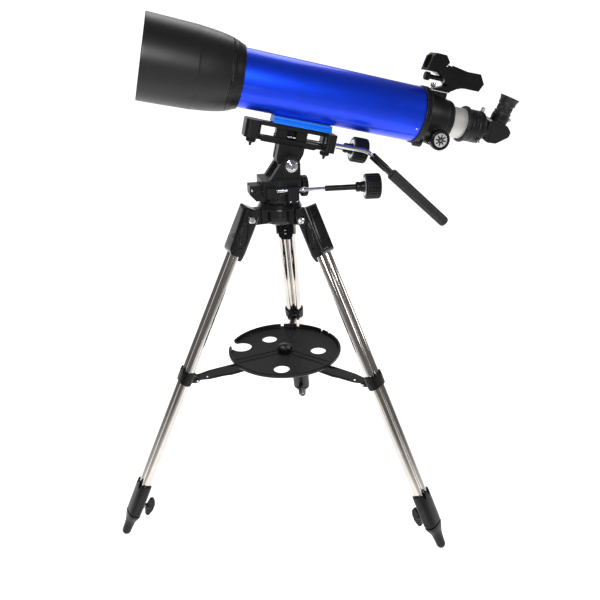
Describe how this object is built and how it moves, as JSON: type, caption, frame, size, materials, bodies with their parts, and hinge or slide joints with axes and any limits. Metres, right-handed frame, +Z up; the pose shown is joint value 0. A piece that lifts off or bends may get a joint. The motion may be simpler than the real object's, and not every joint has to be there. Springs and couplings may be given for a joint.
{
  "type": "refractor telescope",
  "caption": "Blue refractor telescope on a slow-motion altazimuth mount and steel tripod with a round tray, star diagonal and red-dot finder.",
  "frame": {"origin": "middle of the outer box, on the floor under the feet", "axes": "+Z up; X runs along the tube in plan, objective towards -X and eyepiece towards +X; at rest the tube is tipped 13.45 degrees front up"},
  "size_m": [0.8772, 0.6694, 1.0297],
  "materials": {
    "satin_black_paint": "satin black paint on cast and spun metal",
    "gloss_black_casting": "gloss black enamel on cast metal",
    "black_plastic": "moulded black plastic with a fine grain",
    "blue_tube_paint": "deep metallic blue gloss lacquer",
    "azure_anodised_rail": "azure blue anodised extrusion",
    "polished_steel": "polished stainless tube, fine lengthwise grain",
    "chrome": "bright chrome plate",
    "black_rubber": "soft black rubber",
    "coated_glass": "multi-coated optical glass, faint green",
    "gold_coated_glass": "beam-splitter glass with a gold-yellow coating"
  },
  "bodies": {
    "tripod_head": {"tripod_hub": "gloss_black_casting", "leg_pivot_bolt_1": "chrome", "leg_pivot_bolt_2": "chrome", "leg_pivot_bolt_3": "chrome"},
    "leg_1": {"leg_bracket_1": "gloss_black_casting", "leg_tube_1": "polished_steel", "leg_lock_housing_1": "black_plastic", "leg_collar_1": "black_plastic"},
    "lower_leg_1": {"lower_leg_1": "polished_steel"},
    "leg_lock_knob_1": {"leg_lock_knob_1": "black_plastic"},
    "spreader_arm_1": {"spreader_arm_1": "black_plastic"},
    "leg_2": {"leg_bracket_2": "gloss_black_casting", "leg_tube_2": "polished_steel", "leg_lock_housing_2": "black_plastic", "leg_collar_2": "black_plastic"},
    "lower_leg_2": {"lower_leg_2": "polished_steel"},
    "leg_lock_knob_2": {"leg_lock_knob_2": "black_plastic"},
    "spreader_arm_2": {"spreader_arm_2": "black_plastic"},
    "leg_3": {"leg_bracket_3": "gloss_black_casting", "leg_tube_3": "polished_steel", "leg_lock_housing_3": "black_plastic", "leg_collar_3": "black_plastic"},
    "lower_leg_3": {"lower_leg_3": "polished_steel"},
    "leg_lock_knob_3": {"leg_lock_knob_3": "black_plastic"},
    "spreader_arm_3": {"spreader_arm_3": "black_plastic"},
    "spreader": {"spreader_hub": "black_plastic", "accessory_tray": "black_plastic"},
    "tray_knob": {"tray_knob": "black_plastic"},
    "azimuth_mount": {"azimuth_yoke": "satin_black_paint", "altitude_bolt": "chrome"},
    "azimuth_control": {"azimuth_worm": "chrome", "azimuth_control_knob": "black_plastic"},
    "azimuth_lock_knob": {"azimuth_lock_knob": "black_plastic"},
    "altitude_sector": {"altitude_sector": "gloss_black_casting"},
    "cradle": {"cradle": "satin_black_paint", "pan_handle_rod": "chrome", "pan_handle_grip": "black_rubber"},
    "altitude_control": {"altitude_worm": "chrome", "altitude_control_knob": "black_plastic"},
    "cradle_screw_1": {"cradle_screw_1": "black_plastic"},
    "cradle_screw_2": {"cradle_screw_2": "black_plastic"},
    "optical_tube": {"dovetail_rail": "azure_anodised_rail", "main_tube": "blue_tube_paint", "objective_cell": "satin_black_paint", "objective_lens": "coated_glass", "focuser_body": "satin_black_paint", "finder_body": "black_plastic", "finder_lens": "gold_coated_glass"},
    "dew_shield": {"dew_shield": "satin_black_paint"},
    "drawtube": {"drawtube": "chrome", "eyepiece_adapter": "satin_black_paint"},
    "focus_knobs": {"focus_knob_near": "black_plastic", "focus_knob_far": "black_plastic"},
    "adapter_screw_1": {"adapter_screw_1": "chrome"},
    "adapter_screw_2": {"adapter_screw_2": "chrome"},
    "star_diagonal": {"star_diagonal": "gloss_black_casting"},
    "eyepiece_set_screw": {"eyepiece_set_screw": "chrome"},
    "eyepiece": {"eyepiece": "black_rubber"},
    "finder_screw": {"finder_screw": "chrome"},
    "finder_knob": {"finder_knob": "black_plastic"}
  },
  "joints": [
    {"name": "leg_fold_1", "type": "hinge", "parent": "tripod_head", "child": "leg_1", "pos_m": [-0.12128, -0.05661, 0.65854], "axis": [0.2164, -0.9763, 0], "range_deg": [0, 6.5]},
    {"name": "leg_extend_1", "type": "slide", "parent": "leg_1", "child": "lower_leg_1", "axis": [-0.4268, -0.0946, -0.8994], "range_m": [0, 0.35]},
    {"name": "leg_lock_1", "type": "hinge", "parent": "leg_1", "child": "leg_lock_knob_1", "pos_m": [-0.40293, -0.11905, 0.06493], "axis": [-0.8781, -0.1947, 0.4371], "range_deg": [0, 720]},
    {"name": "arm_pivot_1", "type": "hinge", "parent": "leg_1", "child": "spreader_arm_1", "pos_m": [-0.25177, -0.08553, 0.33547], "axis": [0.2164, -0.9763, 0], "range_deg": [0, 31.6]},
    {"name": "leg_fold_2", "type": "hinge", "parent": "tripod_head", "child": "leg_2", "pos_m": [-0.00697, -0.09265, 0.65854], "axis": [0.7373, 0.6756, 0], "range_deg": [0, 6.5]},
    {"name": "leg_extend_2", "type": "slide", "parent": "leg_2", "child": "lower_leg_2", "axis": [0.2953, -0.3223, -0.8994], "range_m": [0, 0.35]},
    {"name": "leg_lock_2", "type": "hinge", "parent": "leg_2", "child": "leg_lock_knob_2", "pos_m": [0.18794, -0.30535, 0.06493], "axis": [0.6076, -0.6631, 0.4371], "range_deg": [0, 720]},
    {"name": "arm_pivot_2", "type": "hinge", "parent": "leg_2", "child": "spreader_arm_2", "pos_m": [0.08334, -0.1912, 0.33547], "axis": [0.7373, 0.6756, 0], "range_deg": [0, 31.6]},
    {"name": "leg_fold_3", "type": "hinge", "parent": "tripod_head", "child": "leg_3", "pos_m": [-0.03291, 0.02437, 0.65854], "axis": [-0.9537, 0.3007, 0], "range_deg": [0, 6.5]},
    {"name": "leg_extend_3", "type": "slide", "parent": "leg_3", "child": "lower_leg_3", "axis": [0.1314, 0.4169, -0.8994], "range_m": [0, 0.35]},
    {"name": "leg_lock_3", "type": "hinge", "parent": "leg_3", "child": "leg_lock_knob_3", "pos_m": [0.05384, 0.29951, 0.06493], "axis": [0.2705, 0.8578, 0.4371], "range_deg": [0, 720]},
    {"name": "arm_pivot_3", "type": "hinge", "parent": "leg_3", "child": "spreader_arm_3", "pos_m": [0.00729, 0.15185, 0.33547], "axis": [-0.9537, 0.3007, 0], "range_deg": [0, 31.6]},
    {"name": "spreader_rise", "type": "slide", "parent": "tripod_head", "child": "spreader", "axis": [0, 0, 1], "range_m": [0, 0.0962]},
    {"name": "tray_knob_turn", "type": "hinge", "parent": "spreader", "child": "tray_knob", "pos_m": [-0.05372, -0.04163, 0.35194], "axis": [0, 0, 1], "range_deg": [0, 1080]},
    {"name": "azimuth", "type": "hinge", "parent": "tripod_head", "child": "azimuth_mount", "pos_m": [-0.05372, -0.04163, 0.69994], "axis": [0, 0, 1], "continuous": true},
    {"name": "azimuth_control_turn", "type": "hinge", "parent": "azimuth_mount", "child": "azimuth_control", "pos_m": [-0.05749, -0.07753, 0.71094], "axis": [0.9945, -0.1045, 0], "continuous": true},
    {"name": "azimuth_lock_turn", "type": "hinge", "parent": "azimuth_mount", "child": "azimuth_lock_knob", "pos_m": [-0.01372, -0.03763, 0.70794], "axis": [1, 0, 0], "range_deg": [0, 360]},
    {"name": "altitude_coarse", "type": "hinge", "parent": "azimuth_mount", "child": "altitude_sector", "pos_m": [-0.03522, -0.04163, 0.75694], "axis": [0, 1, 0], "range_deg": [-23, 25]},
    {"name": "altitude_fine", "type": "hinge", "parent": "altitude_sector", "child": "cradle", "pos_m": [-0.03522, -0.04163, 0.75694], "axis": [0, 1, 0], "range_deg": [-5, 5]},
    {"name": "altitude_control_turn", "type": "hinge", "parent": "cradle", "child": "altitude_control", "pos_m": [-0.0244, -0.03463, 0.80217], "axis": [0.9726, 0, -0.2326], "range_deg": [-420, 420]},
    {"name": "cradle_screw_turn_1", "type": "hinge", "parent": "cradle", "child": "cradle_screw_1", "pos_m": [-0.10653, -0.05363, 0.80484], "axis": [0.2326, 0, 0.9726], "range_deg": [0, 720]},
    {"name": "cradle_screw_turn_2", "type": "hinge", "parent": "cradle", "child": "cradle_screw_2", "pos_m": [0.03644, -0.04963, 0.77065], "axis": [0.2326, 0, 0.9726], "range_deg": [0, 720]},
    {"name": "tube_slide", "type": "slide", "parent": "cradle", "child": "optical_tube", "axis": [0.9726, 0, -0.2326], "range_m": [-0.02, 0.02]},
    {"name": "dew_shield_pull", "type": "slide", "parent": "optical_tube", "child": "dew_shield", "axis": [-0.9726, 0, 0.2326], "range_m": [0, 0.012]},
    {"name": "focus_travel", "type": "slide", "parent": "optical_tube", "child": "drawtube", "axis": [0.9726, 0, -0.2326], "range_m": [-0.03, 0.05]},
    {"name": "focus_pinion", "type": "hinge", "parent": "optical_tube", "child": "focus_knobs", "pos_m": [0.25431, -0.04163, 0.79042], "axis": [0, 1, 0], "range_deg": [-345, 575]},
    {"name": "adapter_screw_turn_1", "type": "hinge", "parent": "drawtube", "child": "adapter_screw_1", "pos_m": [0.3619, -0.04939, 0.83098], "axis": [0.2247, -0.2588, 0.9394], "range_deg": [0, 720]},
    {"name": "adapter_screw_turn_2", "type": "hinge", "parent": "drawtube", "child": "adapter_screw_2", "pos_m": [0.34997, -0.0617, 0.78112], "axis": [-0.1729, -0.6691, -0.7228], "range_deg": [0, 720]},
    {"name": "diagonal_turn", "type": "hinge", "parent": "drawtube", "child": "star_diagonal", "pos_m": [0.36585, -0.04163, 0.80024], "axis": [0.9726, 0, -0.2326], "continuous": true},
    {"name": "set_screw_turn", "type": "hinge", "parent": "star_diagonal", "child": "eyepiece_set_screw", "pos_m": [0.40557, -0.04562, 0.81998], "axis": [0.9311, 0.0194, -0.3644], "range_deg": [0, 720]},
    {"name": "eyepiece_pull", "type": "slide", "parent": "star_diagonal", "child": "eyepiece", "axis": [0.3634, -0.1378, 0.9214], "range_m": [0, 0.02]},
    {"name": "finder_screw_turn", "type": "hinge", "parent": "optical_tube", "child": "finder_screw", "pos_m": [0.25804, -0.04163, 0.88772], "axis": [0.2326, 0, 0.9726], "range_deg": [0, 720]},
    {"name": "finder_knob_turn", "type": "hinge", "parent": "optical_tube", "child": "finder_knob", "pos_m": [0.26187, -0.04163, 0.90068], "axis": [0.9726, 0, -0.2326], "range_deg": [0, 270]}
  ],
  "couplings": [
    {"joint": "leg_fold_2", "follows": "leg_fold_1", "ratio": 1},
    {"joint": "leg_fold_3", "follows": "leg_fold_1", "ratio": 1},
    {"joint": "arm_pivot_1", "follows": "leg_fold_1", "ratio": 4.8415},
    {"joint": "arm_pivot_2", "follows": "leg_fold_1", "ratio": 4.8415},
    {"joint": "arm_pivot_3", "follows": "leg_fold_1", "ratio": 4.8415},
    {"joint": "spreader_rise", "follows": "leg_fold_1", "m_per_rad": 0.84445},
    {"joint": "azimuth_control_turn", "follows": "azimuth", "ratio": 64},
    {"joint": "altitude_control_turn", "follows": "altitude_fine", "ratio": 83},
    {"joint": "focus_pinion", "follows": "focus_travel", "rad_per_m": 200}
  ]
}
